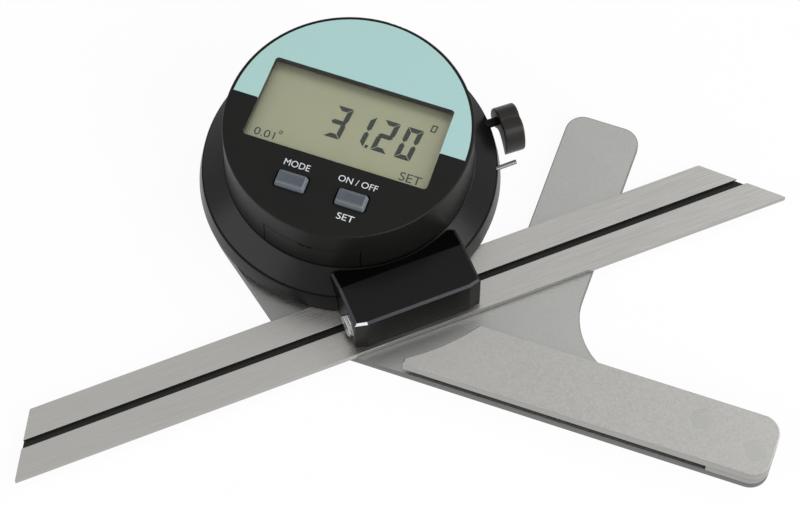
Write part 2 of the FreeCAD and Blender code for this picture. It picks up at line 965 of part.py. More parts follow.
def case_floor_plate():
    """The case's floor, screwed on the hub, with the encoder's fixed disc under it."""
    plate = disc(case_bore - running_gap, case_bottom, case_floor)
    stator_room = ring(
        encoder_outer_radius + running_gap,
        encoder_inner_radius - pocket_gap,
        case_bottom - overrun,
        case_bottom + encoder_thick,
    )
    tools = [stator_room]
    end = case_bottom - overrun
    for place in floor_screw_places():
        tools.append(countersunk(place, floor_screw_radius, floor_screw_head_radius, case_floor, end))
    for outer, inner in case_screw_lines():
        tools.append(rod(case_screw_radius, outer, inner))
    return cut(plate, tools)


def encoder_stator():
    """The encoder's fixed disc, let into the floor from below."""
    return ring(encoder_outer_radius, encoder_inner_radius, case_bottom, case_bottom + encoder_thick)


def floor_screws():
    """Screws through the case's floor into the hub."""
    end = case_bottom - floor_screw_depth
    return group([
        countersunk(place, floor_screw_radius, floor_screw_head_radius, case_floor, end)
        for place in floor_screw_places()
    ])


def case_screws():
    """Set screws that lock the shell to its floor."""
    return group([
        rod(case_screw_radius, inner, outer - (outer - inner).normalize() * pocket_gap)
        for outer, inner in case_screw_lines()
    ])


def label_panel():
    """The coloured half-round label, let into the face."""
    label = prism(label_outline(), case_top - label_thick, case_top)
    return cut(label, [window_block(case_ceiling, case_top + overrun, 0)])


def display_window():
    """The clear window: a plate in the opening and a flange behind it."""
    top = case_top - window_sink
    glass = window_block(case_ceiling, top, -running_gap)
    flange = window_block(case_ceiling - window_flange_thick, case_ceiling, window_flange)
    return join([glass, flange])


def panel_spans():
    """The display panel's limits in X and Y."""
    return about(0, window_width + panel_border * 2), (-window_low - panel_border, window_high + panel_border)


def display_panel():
    """The liquid crystal panel."""
    return box(*panel_spans(), (panel_bottom, panel_top))


def panel_connectors():
    """Rubber connector strips between the panel and the board."""
    x_span, (low, high) = panel_spans()
    return group([
        box(x_span, (low, low + connector_width), (board_top, panel_bottom)),
        box(x_span, (high - connector_width, high), (board_top, panel_bottom)),
    ])


def circuit_board():
    """The round board that carries the display's electronics."""
    low = board_bottom - overrun
    high = board_top + overrun
    holes = [disc(board_screw_radius, low, high, place) for place in post_places()]
    return cut(disc(board_radius, board_bottom, board_top), holes)


def board_screws():
    """Screws that hold the board to the shell's posts."""
    screws = []
    for place in post_places():
        shank = disc(board_screw_radius, board_bottom, board_top + board_screw_depth, place)
        head = disc(board_screw_head_radius, board_bottom - board_screw_head_height, board_bottom, place)
        screws.append(join([shank, head]))
    return group(screws)


def display_chip():
    """The chip under the board."""
    z_span = (board_bottom - chip_thick, board_bottom)
    return box(about(0, chip_size), about(chip_reach, chip_size), z_span)


def button_switches():
    """Two switches on the board, each with its dome."""
    switches = []
    for place in button_places():
        base = disc(switch_radius, board_top, board_top + switch_height, place)
        dome_top = stem_bottom() - button_travel - sliding_gap
        dome = disc(switch_dome_radius, board_top + switch_height, dome_top, place)
        switches.append(join([base, dome]))
    return group(switches)


def stem_bottom():
    """Height of a button stem's lower end."""
    return case_ceiling - button_flange_thick - button_travel


def push_button(place):
    """One button: tapered cap, flange behind the face, and stem."""
    flange_face = case_ceiling - sliding_gap
    z_span = (flange_face, case_top)
    shank = rounded_block(about(0, button_length), about(0, button_width), z_span, button_corner)
    rims = []
    for height, trim in ((case_top, 0), (case_top + button_rise, button_taper * 2)):
        outline = block_outline(about(0, button_length - trim), about(0, button_width - trim), button_corner)
        rim = Part.Wire(outline)
        rim.translate(UP * height)
        rims.append(rim)
    cap = Part.makeLoft(rims, True, True)
    x_span = about(0, button_length + button_flange * 2)
    y_span = about(0, button_width + button_flange * 2)
    z_span = (flange_face - button_flange_thick, flange_face)
    flange = rounded_block(x_span, y_span, z_span, button_corner + button_flange)
    stem = disc(button_stem_radius, stem_bottom(), flange_face)
    button = join([shank, cap, flange, stem])
    button.translate(place)
    return button


# Battery

def cell_centre():
    """The battery's centre, towards the tray's front."""
    return polar(case_bore - cell_wall_gap - cell_radius, tray_angle)


def battery_cell():
    """The coin cell."""
    return disc(cell_radius, cell_seat, cell_top, cell_centre())


def battery_tray():
    """The tray: a curved front that closes the case wall and a floor under the cell."""
    front_low = case_bottom + sliding_gap
    front = tray_sector(case_bore, case_base_radius, front_low, tray_top - tray_seam, tray_seam)
    z_span = (case_floor + sliding_gap, cell_seat)
    inner = case_bore - cell_wall_gap - cell_radius * 2
    shelf = box((inner, case_bore), about(0, tray_lug_width), z_span)
    shelf = shelf.rotated(ORIGIN, UP, tray_angle)
    return join([front, shelf]).common(case_cone())


def battery_contacts():
    """Two sprung strips from the board down to the cell."""
    centre = cell_centre()
    span = about(centre.x, contact_width)
    end = centre.y + cell_radius + contact_overhang
    upper = box(span, (centre.y, end), (cell_top, cell_top + contact_thick))
    riser = box(span, (end - contact_thick, end), (cell_top, board_bottom))
    side_y = centre.y + cell_radius + pocket_gap
    side = box(span, (side_y, side_y + contact_thick), (cell_seat, board_bottom))
    side.rotate(centre, UP, -contact_turn)
    return group([join([upper, riser]), side])


nodes = {
    "base_plate": base_plate,
    "stock_spacer": stock_spacer,
    "stock_lip": stock_lip,
    "stock_rivets": stock_rivets,
    "pivot_hub": pivot_hub,
    "hub_screws": hub_screws,
    "thrust_washer": thrust_washer,
    "case_floor_plate": case_floor_plate,
    "floor_screws": floor_screws,
    "encoder_stator": encoder_stator,
    "front_case": front_case,
    "case_screws": case_screws,
    "label_panel": label_panel,
    "display_window": display_window,
    "display_panel": display_panel,
    "panel_connectors": panel_connectors,
    "circuit_board": circuit_board,
    "board_screws": board_screws,
    "display_chip": display_chip,
    "button_switches": button_switches,
    "battery_cell": battery_cell,
    "battery_tray": battery_tray,
    "battery_contacts": battery_contacts,
    "turret_ring": turret_ring,
    "encoder_rotor": encoder_rotor,
    "index_pin": index_pin,
    "brake_shoe": brake_shoe,
    "clamp_housing": clamp_housing,
    "clamp_screws": clamp_screws,
    "clamp_hook": clamp_hook,
    "clamp_spindle": clamp_spindle,
    "blade": blade,
    "lock_lever": lock_lever,
    "lock_screw": lock_screw,
    "mode_button": lambda: push_button(button_places()[0]),
    "set_button": lambda: push_button(button_places()[1]),
}

for name, make in nodes.items():
    shape = make()
    shape.exportStep(f"parts/{name}.step")
    bounds = shape.BoundBox
    print(
        f"{name:18s} solids {len(shape.Solids)} valid {shape.isValid()} volume {shape.Volume:9.1f}"
        f"  x {bounds.XMin:7.2f} {bounds.XMax:7.2f}  y {bounds.YMin:7.2f} {bounds.YMax:7.2f}"
        f"  z {bounds.ZMin:6.2f} {bounds.ZMax:6.2f}"
    )
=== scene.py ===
import logging
import math
from collections.abc import Callable, Sequence
from dataclasses import dataclass, replace
from enum import Enum

import bpy
from mathutils import Matrix, Vector


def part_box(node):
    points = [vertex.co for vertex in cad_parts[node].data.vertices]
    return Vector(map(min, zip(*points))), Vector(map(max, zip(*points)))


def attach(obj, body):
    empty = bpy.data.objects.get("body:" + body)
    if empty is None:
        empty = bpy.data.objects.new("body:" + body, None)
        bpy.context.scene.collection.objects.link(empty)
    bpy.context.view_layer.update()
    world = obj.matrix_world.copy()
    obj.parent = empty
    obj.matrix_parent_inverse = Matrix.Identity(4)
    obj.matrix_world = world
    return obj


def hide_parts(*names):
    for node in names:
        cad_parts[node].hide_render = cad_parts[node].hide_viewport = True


# Angle finder: a flat metal stock with a fixed arm, a black turning head that clamps
# a long sliding blade, and a round digital display with two push buttons on top.
# Sizes in the classes are millimetres and degrees; meshes are made in metres.

Piece = bpy.types.Object
Tree = bpy.types.NodeTree
Socket = bpy.types.NodeSocket
Triple = tuple[float, float, float]
Test = Callable[[Vector, Vector], bool]     # tells whether a place in mm and a normal suit

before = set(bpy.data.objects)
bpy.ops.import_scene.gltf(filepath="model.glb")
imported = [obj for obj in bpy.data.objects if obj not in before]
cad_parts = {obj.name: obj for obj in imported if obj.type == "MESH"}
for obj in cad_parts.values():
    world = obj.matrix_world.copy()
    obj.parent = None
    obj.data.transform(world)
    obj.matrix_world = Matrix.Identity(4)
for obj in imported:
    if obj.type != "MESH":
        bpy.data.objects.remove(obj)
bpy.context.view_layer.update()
LOG = logging.getLogger("angle_finder")

MM = 0.001
FINEST = 0.001          # mm, closer points are one point
FLAT_WITHIN = 0.3       # degrees, faces that lie as flat as this become one
CREASE = 30.0           # degrees, edges sharper than this are rounded or shown as edges
SCREEN = 255.0          # the lightest tone on screen
LEVEL = 0.9             # a face whose normal's Z is above this counts as level
NOISE_DETAIL = 3.0      # octaves in every noise pattern
NOISE_LOW, NOISE_HIGH = 0.3, 0.7    # most of a noise pattern lies between these values
BLADE_ANGLE = 41.58     # degrees from the stock to the blade


class Body(str, Enum):
    """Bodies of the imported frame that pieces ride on."""

    STOCK = "stock"
    HEAD = "turning_head"
    BLADE = "sliding_blade"
    LOCK = "lock"
    CLAMP = "clamp_cam"
    LEFT_BUTTON = "left_button"
    RIGHT_BUTTON = "right_button"


class Slot(str, Enum):
    """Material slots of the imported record."""

    GROUND_STEEL = "ground_steel"
    RIVET_STEEL = "rivet_steel"
    SCREW_STEEL = "screw_steel"
    BRIGHT_STEEL = "bright_steel"
    HUB_METAL = "hub_metal"
    BLACK_METAL = "black_metal"
    LEVER_METAL = "lever_metal"
    CASE_PLASTIC = "case_plastic"
    LABEL_FILM = "label_film"
    WINDOW_CLEAR = "window_clear"
    DISPLAY_FACE = "display_face"
    BUTTON_RUBBER = "button_rubber"
    BOARD_LAMINATE = "board_laminate"
    CHIP_BLACK = "chip_black"
    CONNECTOR_RUBBER = "connector_rubber"
    CELL_STEEL = "cell_steel"
    CONTACT_BRASS = "contact_brass"
    WASHER_POLYMER = "washer_polymer"
    ENCODER_LAMINATE = "encoder_laminate"
    SHOE_BRASS = "shoe_brass"


def linear(tone: Sequence[float], share: float = 1.0) -> tuple[float, float, float, float]:
    """Turn a tone as it reads on screen into the linear colour that a shader takes.

    Args:
        tone: red, green and blue from 0 to 255.
        share: how much lighter or darker the colour is made.

    Returns:
        Red, green, blue and an alpha of 1.
    """
    low_end, low_slope, lift, power = 0.04045, 12.92, 0.055, 2.4
    colour = []
    for part in tone:
        value = part / SCREEN
        straight = value / low_slope
        curved = ((value + lift) / (1 + lift)) ** power
        colour.append(min(1.0, share * (straight if value <= low_end else curved)))
    return colour[0], colour[1], colour[2], 1.0


# Finishes

def even(size: float) -> Triple:
    """Give a size that is the same along X, Y and Z."""
    return size, size, size


def fresh_material(name: str) -> bpy.types.Material:
    """Add a material that works by nodes."""
    made = bpy.data.materials.new(name)
    made.use_nodes = True
    return made


def fill(tree: Tree, node: bpy.types.Node, inputs: dict[str | int, object]) -> None:
    """Give a node its inputs.

    Args:
        tree: the node's tree.
        node: the node.
        inputs: what each input gets: a plain value, or the socket that feeds it.
    """
    for name, value in inputs.items():
        if isinstance(value, Socket):
            tree.links.new(value, node.inputs[name])
        else:
            node.inputs[name].default_value = value


def add_node(
    tree: Tree, kind: str, inputs: dict[str | int, object], **settings: str
) -> bpy.types.Node:
    """Add a node to a tree.

    Args:
        tree: the tree to add to.
        kind: the node's type.
        inputs: what each input gets: a plain value, or the socket that feeds it.
        settings: the node's own settings.

    Returns:
        The node.
    """
    node = tree.nodes.new(kind)
    for name, value in settings.items():
        setattr(node, name, value)
    fill(tree, node, inputs)
    return node


@dataclass(frozen=True)
class Surface:
    """What every finish has: its name, its slot and a material that is built once."""

    name: str
    slot: Slot

    def material(self) -> bpy.types.Material:
        """Build the finish as a material, or give the one built before."""
        return bpy.data.materials.get(self.name) or self.built(fresh_material(self.name))

    def built(self, made: bpy.types.Material) -> bpy.types.Material:
        """Fill a fresh material; each kind of finish does this its own way."""
        raise NotImplementedError


@dataclass(frozen=True)
class Finish(Surface):
    """One opaque surface, with a fine grain over slow clouding of its colour."""

    tone: Triple
    metallic: float = 0.0
    roughness: float = 0.5
    roughness_spread: float = 0.06
    grain: Triple = even(0.35)
    grain_turn: float = 0.0
    grain_share: float = 0.05
    grain_depth: float = 0.004
    cloud: float = 14.0
    cloud_share: float = 0.04
    shine: float = 0.5

    def built(self, made: bpy.types.Material) -> bpy.types.Material:
        """Give a fresh material its colour, roughness and bump.

        Args:
            made: the fresh material.

        Returns:
            The same material.
        """
        tree = made.node_tree
        made.diffuse_color = linear(self.tone)
        grain = self.noise(tree, self.grain, self.grain_turn)
        depth = {"Distance": self.grain_depth * MM, "Height": grain}
        fill(tree, tree.nodes["Principled BSDF"], {
            "Metallic": self.metallic,
            "Specular IOR Level": self.shine,
            "Base Color": self.colour(tree, grain, self.noise(tree, even(self.cloud))),
            "Roughness": self.spread(tree, grain, self.roughness, self.roughness_spread),
            "Normal": add_node(tree, "ShaderNodeBump", depth).outputs["Normal"],
        })
        return made

    @staticmethod
    def noise(tree: Tree, size: Sequence[float], turn: float = 0.0) -> Socket:
        """Add a noise pattern on the object's own coordinates.

        Args:
            tree: the node tree to add to.
            size: how large the marks are along X, Y and Z, in millimetres.
            turn: how far the pattern is turned round Z, in degrees.

        Returns:
            The pattern's value, from 0 to 1.
        """
        mapping = add_node(tree, "ShaderNodeMapping", {
            "Rotation": (0.0, 0.0, math.radians(turn)),
            "Scale": [length * MM for length in size],
            "Vector": add_node(tree, "ShaderNodeTexCoord", {}).outputs["Object"],
        }, vector_type="TEXTURE")
        pattern = {"Scale": 1.0, "Detail": NOISE_DETAIL, "Vector": mapping.outputs["Vector"]}
        return add_node(tree, "ShaderNodeTexNoise", pattern).outputs["Fac"]

    @staticmethod
    def spread(tree: Tree, value: Socket, middle: float, width: float) -> Socket:
        """Spread a pattern's value evenly round a middle.

        Args:
            tree: the node tree to add to.
            value: the pattern's value.
            middle: the middle of the result.
            width: how far the result goes to either side.

        Returns:
            The spread value.
        """
        return add_node(tree, "ShaderNodeMapRange", {
            "Value": value,
            "From Min": NOISE_LOW,
            "From Max": NOISE_HIGH,
            "To Min": middle - width,
            "To Max": middle + width,
        }).outputs["Result"]

    def colour(self, tree: Tree, grain: Socket, cloud: Socket) -> Socket:
        """Cloud the finish's tone and multiply it by the grain.

        Args:
            tree: the node tree to add to.
            grain: the value of the fine pattern.
            cloud: the value of the slow pattern.

        Returns:
            The colour.
        """
        factor, under, over, result = 0, 6, 7, 2    # a mix node's sockets for colours
        clouded = add_node(tree, "ShaderNodeMix", {
            factor: cloud,
            under: linear(self.tone, 1 - self.cloud_share),
            over: linear(self.tone, 1 + self.cloud_share),
        }, data_type="RGBA")
        grained = add_node(tree, "ShaderNodeMix", {
            factor: 1.0,
            under: clouded.outputs[result],
            over: self.spread(tree, grain, 1.0, self.grain_share),
        }, data_type="RGBA", blend_type="MULTIPLY")
        return grained.outputs[result]


@dataclass(frozen=True)
class ClearFinish(Surface):
    """A clear pane that shows what lies under it, with a gloss at low angles."""

    tint: Triple
    gloss_tone: Triple
    roughness: float = 0.06
    roughness_spread: float = 0.02
    smear: float = 9.0
    edge_gloss: float = 0.1

    def built(self, made: bpy.types.Material) -> bpy.types.Material:
        """Mix a tinted see-through shader with a gloss in a fresh material.

        Args:
            made: the fresh material.

        Returns:
            The same material.
        """
        tree = made.node_tree
        gloss = tree.nodes["Principled BSDF"]
        smear = Finish.noise(tree, even(self.smear))
        fill(tree, gloss, {
            "Base Color": linear(self.gloss_tone),
            "Metallic": 1.0,
            "Roughness": Finish.spread(tree, smear, self.roughness, self.roughness_spread),
        })
        angle = add_node(tree, "ShaderNodeLayerWeight", {"Blend": self.edge_gloss})
        clear = add_node(tree, "ShaderNodeBsdfTransparent", {"Color": linear(self.tint)})
        mix = add_node(tree, "ShaderNodeMixShader", {
            0: angle.outputs["Facing"], 1: clear.outputs["BSDF"], 2: gloss.outputs["BSDF"],
        })
        fill(tree, tree.nodes["Material Output"], {"Surface": mix.outputs["Shader"]})
        return made


PLATE_METAL = Finish(
    "plate_metal", Slot.GROUND_STEEL, (154, 155, 152), metallic=1.0, roughness=0.42,
    grain=even(0.4), grain_share=0.06, grain_depth=0.006, cloud=11.0, cloud_share=0.05,
)
BAR_METAL = replace(
    PLATE_METAL, name="bar_metal", tone=(160, 158, 155), roughness=0.4, cloud=14.0,
    cloud_share=0.04,
)
BLADE_METAL = Finish(
    "blade_metal", Slot.GROUND_STEEL, (167, 165, 162), metallic=1.0, roughness=0.3,
    grain=(9.0, 0.22, 0.22), grain_turn=BLADE_ANGLE, grain_share=0.02, grain_depth=0.001,
    cloud=26.0, cloud_share=0.03,
)
# Painted shade: a darker steel for the base plate's upright sides, standing in for the shade they
# are in.
PLATE_SIDE_SHADE = Finish(
    "plate_side_painted_shade", Slot.GROUND_STEEL, (112, 113, 111), metallic=1.0,
    grain=even(0.4), grain_share=0.06, cloud=11.0,
)
# Blackened steel together with painted shade, for the inside of the blade's groove.
GROOVE_BLACK_AND_SHADE = Finish(
    "groove_black_and_shade", Slot.GROUND_STEEL, (26, 28, 25), roughness=0.6, shine=0.25,
    grain=(3.0, 0.2, 0.2), grain_turn=BLADE_ANGLE,
)
RIVET_METAL = Finish(
    "rivet_metal", Slot.RIVET_STEEL, (157, 157, 154), metallic=1.0, roughness=0.38,
    grain=even(0.3), cloud=3.0,
)
SCREW_METAL = Finish(
    "screw_metal", Slot.SCREW_STEEL, (120, 121, 122), metallic=1.0, roughness=0.34,
    grain=even(0.2), cloud=2.0,
)
BRIGHT_METAL = Finish(
    "bright_metal", Slot.BRIGHT_STEEL, (170, 170, 167), metallic=1.0, roughness=0.3,
    grain=(0.12, 0.12, 2.0), grain_depth=0.002, cloud=2.0,
)
PIN_METAL = replace(BRIGHT_METAL, name="pin_metal", tone=(98, 99, 96), roughness=0.22)
HUB_METAL = Finish(
    "hub_turned", Slot.HUB_METAL, (150, 150, 148), metallic=1.0, roughness=0.4,
    grain=(0.3, 0.3, 0.1),
)
HEAD_BLACK = Finish(
    "head_black", Slot.BLACK_METAL, (12, 13, 12), roughness=0.3, roughness_spread=0.04,
    grain=even(0.25), grain_depth=0.003, shine=0.17, cloud=8.0, cloud_share=0.12,
)
CLAMP_BLACK = Finish(
    "clamp_black", Slot.BLACK_METAL, (23, 24, 23), roughness=0.22, roughness_spread=0.04,
    grain=even(0.2), grain_depth=0.002, shine=0.08, cloud=6.0, cloud_share=0.1,
)
# Painted highlight: a lighter, bluish black for the bevels along the clamp's front and left top
# edges.
CLAMP_BEVEL_HIGHLIGHT = Finish(
    "clamp_bevel_painted_highlight", Slot.BLACK_METAL, (36, 39, 45), roughness=0.3, shine=0.2,
    grain=even(0.2), cloud=3.0, cloud_share=0.1,
)
# Painted shade: a darker black for the clamp's walls and the heel that slopes to the drum.
CLAMP_SHADE = replace(CLAMP_BLACK, name="clamp_painted_shade", tone=(9, 8, 7), roughness=0.26, shine=0.06)
# Painted glint: a near-white spot on the top bevel at the clamp's front corner.
CORNER_GLINT = Finish(
    "corner_painted_glint", Slot.BLACK_METAL, (205, 206, 208), roughness=0.4,
    grain=even(0.2), cloud=1.0,
)
# Painted shade: near-black, matt faces inside the fine groove sunk round the ring's rim.
RIM_GROOVE_SHADE = Finish(
    "rim_groove_painted_shade", Slot.BLACK_METAL, (7, 7, 7), roughness=0.6, shine=0.1,
    grain=even(0.2), cloud=2.0,
)
SCREW_BLACK = Finish(
    "screw_black", Slot.BLACK_METAL, (20, 13, 12), shine=0.08,
    grain=even(0.2), cloud=1.0,
)
LEVER_BLACK = Finish(
    "lever_black", Slot.LEVER_METAL, (38, 35, 32), roughness=0.38, shine=0.2,
    grain=even(0.2), cloud=4.0, cloud_share=0.1,
)
CASE_BLACK = Finish(
    "case_black", Slot.CASE_PLASTIC, (19, 19, 18), roughness=0.4, roughness_spread=0.04,
    grain=even(0.3), grain_depth=0.003, shine=0.13, cloud=9.0, cloud_share=0.1,
)
LABEL_BLUE = Finish(
    "label_blue", Slot.LABEL_FILM, (167, 203, 200), roughness=0.42, shine=0.3,
    grain=even(0.25), grain_share=0.012, grain_depth=0.001, cloud=16.0, cloud_share=0.015,
)
DISPLAY_GREY = Finish(
    "display_grey", Slot.DISPLAY_FACE, (170, 171, 149), metallic=0.5, roughness=0.45, shine=0.2,
    grain=even(0.15), grain_share=0.012, grain_depth=0.0005, cloud=13.0, cloud_share=0.03,
)
FIGURE_INK = Finish(
    "figure_ink", Slot.DISPLAY_FACE, (24, 40, 38), shine=0.2,
    grain=even(0.2), grain_depth=0.0005, cloud=5.0,
)
LETTER_INK = Finish(
    "letter_ink", Slot.CASE_PLASTIC, (214, 218, 220), shine=0.3,
    grain=even(0.1), grain_depth=0.0005, cloud=3.0,
)
BUTTON_GREY = Finish(
    "button_grey", Slot.BUTTON_RUBBER, (74, 81, 88), shine=0.3,
    grain=even(0.15), grain_share=0.04, cloud=3.0,
)
# Painted highlight: a lighter grey for the rounded edge round each button's top.
BUTTON_RIM_HIGHLIGHT = replace(BUTTON_GREY, name="button_rim_highlight", tone=(108, 114, 119))
WINDOW_PANE = ClearFinish("window_pane", Slot.WINDOW_CLEAR, (250, 250, 247), (240, 240, 240))
# Painted shade: the pane's side faces reflect near black, so the walls of the display's recess read
# dark.
WINDOW_SIDE_SHADE = replace(WINDOW_PANE, name="window_side_shade", gloss_tone=(14, 14, 14))
BOARD_GREEN = Finish(
    "board_green", Slot.BOARD_LAMINATE, (38, 84, 52), roughness=0.45, grain=(0.5, 0.2, 0.2),
)
CHIP_BLACK = Finish("chip_black", Slot.CHIP_BLACK, (30, 30, 31), roughness=0.6)
CONNECTOR_GREY = Finish(
    "connector_grey", Slot.CONNECTOR_RUBBER, (70, 70, 72), roughness=0.8, grain=(0.1, 2.0, 2.0),
    grain_share=0.3,
)
CELL_METAL = Finish("cell_metal", Slot.CELL_STEEL, (190, 190, 188), metallic=1.0, roughness=0.28)
CONTACT_METAL = Finish(
    "contact_metal", Slot.CONTACT_BRASS, (196, 170, 110), metallic=1.0, roughness=0.32,
)
WASHER_WHITE = Finish("washer_white", Slot.WASHER_POLYMER, (215, 212, 200), roughness=0.6)
ENCODER_GREEN = Finish(
    "encoder_green", Slot.ENCODER_LAMINATE, (60, 92, 60), grain=even(0.4),
)
SHOE_METAL = Finish("shoe_metal", Slot.SHOE_BRASS, (178, 150, 92), metallic=1.0, roughness=0.4)


# Handwork on meshes

def let_go() -> None:
    """Leave every object deselected and in object mode."""
    if bpy.context.object and bpy.context.object.mode != "OBJECT":
        bpy.ops.object.mode_set(mode="OBJECT")
    bpy.ops.object.select_all(action="DESELECT")


def take(piece: Piece) -> None:
    """Select one object alone and make it the active one.

    Args:
        piece: the object to select.
    """
    let_go()
    piece.select_set(True)
    bpy.context.view_layer.objects.active = piece


def edit(piece: Piece, everything: bool = True) -> None:
    """Open a piece for editing.

    Args:
        piece: the object to edit.
        everything: select all of it, or nothing.
    """
    take(piece)
    bpy.ops.object.mode_set(mode="EDIT")
    bpy.ops.mesh.select_all(action="SELECT" if everything else "DESELECT")


def clean(piece: Piece) -> None:
    """Merge a piece's doubles and turn its faces outwards.

    Args:
        piece: the mesh to clean.
    """
    edit(piece)
    bpy.ops.mesh.remove_doubles(threshold=FINEST * MM)
    bpy.ops.mesh.normals_make_consistent(inside=False)
    let_go()


def pick(piece: Piece, kind: str, wanted: Test) -> None:
    """Open a piece with only the faces or points picked that suit.

    Args:
        piece: the object to edit.
        kind: FACE or VERT.
        wanted: says whether a place, in millimetres, and a normal suit.
    """
    edit(piece, everything=False)
    bpy.ops.mesh.select_mode(type=kind)
    bpy.ops.object.mode_set(mode="OBJECT")
    for item in piece.data.polygons if kind == "FACE" else piece.data.vertices:
        place = item.center if kind == "FACE" else item.co
        item.select = wanted(place / MM, item.normal)
    bpy.ops.object.mode_set(mode="EDIT")


def draw_out(*move: float) -> None:
    """Extrude what is picked by a move along X, Y and Z, in millimetres."""
    bpy.ops.mesh.extrude_region_move(TRANSFORM_OT_translate={"value": Vector(move) * MM})


def apply_all(piece: Piece) -> None:
    """Apply every modifier of a piece in order.

    Args:
        piece: the object whose modifiers are applied.
    """
    take(piece)
    for modifier in list(piece.modifiers):
        bpy.ops.object.modifier_apply(modifier=modifier.name)


@dataclass(frozen=True)
class Rounding:
    """How the sharp edges of a piece are rounded.

    Args:
        radius: how far in the rounding starts, in millimetres.
        segments: how many faces the rounding has.
        share_at: gives the share of the radius that an edge takes, by its middle.
        crease: edges sharper than this, in degrees, are rounded and stay edges.
    """

    radius: float
    segments: int = 2
    share_at: Callable[[Vector], float] | None = None
    crease: float = CREASE


def round_edges(piece: Piece, rounding: Rounding) -> None:
    """Round a piece's sharp edges and set its shading.

    Args:
        piece: the object to finish.
        rounding: how its edges are rounded.
    """
    edit(piece, everything=False)
    bpy.ops.mesh.select_mode(type="EDGE")
    bpy.ops.mesh.edges_select_sharp(sharpness=math.radians(rounding.crease))
    let_go()
    mesh = piece.data
    weights = mesh.attributes.new("bevel_weight_edge", "FLOAT", "EDGE")
    for edge in mesh.edges:
        first, last = (mesh.vertices[index].co for index in edge.vertices)
        share = rounding.share_at((first + last) / 2 / MM) if rounding.share_at else 1.0
        weights.data[edge.index].value = share if edge.select else 0.0
    bevel = piece.modifiers.new("edges", "BEVEL")
    bevel.width = rounding.radius * MM
    bevel.segments = rounding.segments
    bevel.limit_method = "WEIGHT"
    bevel.use_clamp_overlap = False
    apply_all(piece)
    edit(piece)
    bpy.ops.mesh.dissolve_degenerate(threshold=FINEST * MM)
    take(piece)
    bpy.ops.object.shade_smooth_by_angle(angle=math.radians(rounding.crease))
    weighted = piece.modifiers.new("flat faces stay flat", "WEIGHTED_NORMAL")
    weighted.keep_sharp = True
    apply_all(piece)


def copy_of(node: str, name: str) -> Piece:
    """Copy a node's mesh, merged and with its flat faces whole.

    Args:
        node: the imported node.
        name: the new piece's name.

    Returns:
        The copy, at the origin, with nothing riding on it.
    """
    piece = bpy.data.objects.new(name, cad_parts[node].data.copy())
    bpy.context.scene.collection.objects.link(piece)
    piece.data.materials.clear()
    edit(piece)
    bpy.ops.mesh.remove_doubles(threshold=FINEST * MM)
    bpy.ops.mesh.dissolve_limited(angle_limit=math.radians(FLAT_WITHIN))
    let_go()
    return piece


def hand_over(piece: Piece, finish: Surface, body: Body, *nodes: str) -> Piece:
    """Give a finished piece its material, its body and the nodes that it stands for.

    Args:
        piece: the finished mesh, in its place.
        finish: its main finish.
        body: the body that it rides on.
        nodes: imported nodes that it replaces.

    Returns:
        The same piece.
    """
    let_go()
    if not piece.data.materials:
        piece.data.materials.append(None)
    piece.data.materials[0] = finish.material()
    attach(piece, body.value)
    if nodes:
        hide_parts(*nodes)
    LOG.info("%s: %d faces, rides on %s", piece.name, len(piece.data.polygons), body.value)
    return piece


def redress(node: str, name: str, finish: Surface, body: Body, rounding: Rounding) -> Piece:
    """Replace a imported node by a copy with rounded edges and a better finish.

    Args:
        node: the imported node.
        name: the new piece's name.
        finish: its finish.
        body: the body that it rides on.
        rounding: how its edges are rounded.

    Returns:
        The new piece.
    """
    piece = copy_of(node, name)
    round_edges(piece, rounding)
    return hand_over(piece, finish, body, node)


def coat_nodes(coats: dict[str, Finish]) -> None:
    """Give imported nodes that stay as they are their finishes.

    Args:
        coats: each node's finish.
    """
    for node, finish in coats.items():
        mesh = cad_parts[node].data
        mesh.materials.clear()
        mesh.materials.append(finish.material())
        LOG.info("%s: stays, in %s", node, finish.name)


def paint(piece: Piece, finish: Surface, wanted: Test) -> None:
    """Give some faces of a piece a second finish.

    Args:
        piece: a piece that has its first finish.
        finish: the second finish.
        wanted: says whether a face's middle, in millimetres, and its normal suit.
    """
    piece.data.materials.append(finish.material())
    for face in piece.data.polygons:
        if wanted(face.center / MM, face.normal):
            face.material_index = len(piece.data.materials) - 1


def cut_away(piece: Piece, tool: Piece) -> None:
    """Cut a tool's shape out of a piece and clear the tool away.

    Args:
        piece: the mesh to cut.
        tool: the closed mesh that is taken from it.
    """
    difference = piece.modifiers.new("cut", "BOOLEAN")
    difference.operation = "DIFFERENCE"
    difference.solver = "EXACT"
    difference.object = tool
    apply_all(piece)
    bpy.data.objects.remove(tool)


def joined(pieces: Sequence[Piece], name: str) -> Piece:
    """Join meshes into one object.

    Args:
        pieces: the meshes to join.
        name: the name of the result.

    Returns:
        The joined object.
    """
    take(pieces[0])
    for piece in pieces:
        piece.select_set(True)
    bpy.ops.object.join()
    result = bpy.context.view_layer.objects.active
    result.name = name
    return result


def reach_along(place: Vector, degrees: float) -> float:
    """Tell how far a place or a normal reaches along a level direction.

    Args:
        place: the place or the normal.
        degrees: the direction, from X towards Y.

    Returns:
        Its reach, in the place's own unit.
    """
    turn = math.radians(degrees)
    return place.x * math.cos(turn) + place.y * math.sin(turn)


# The stock

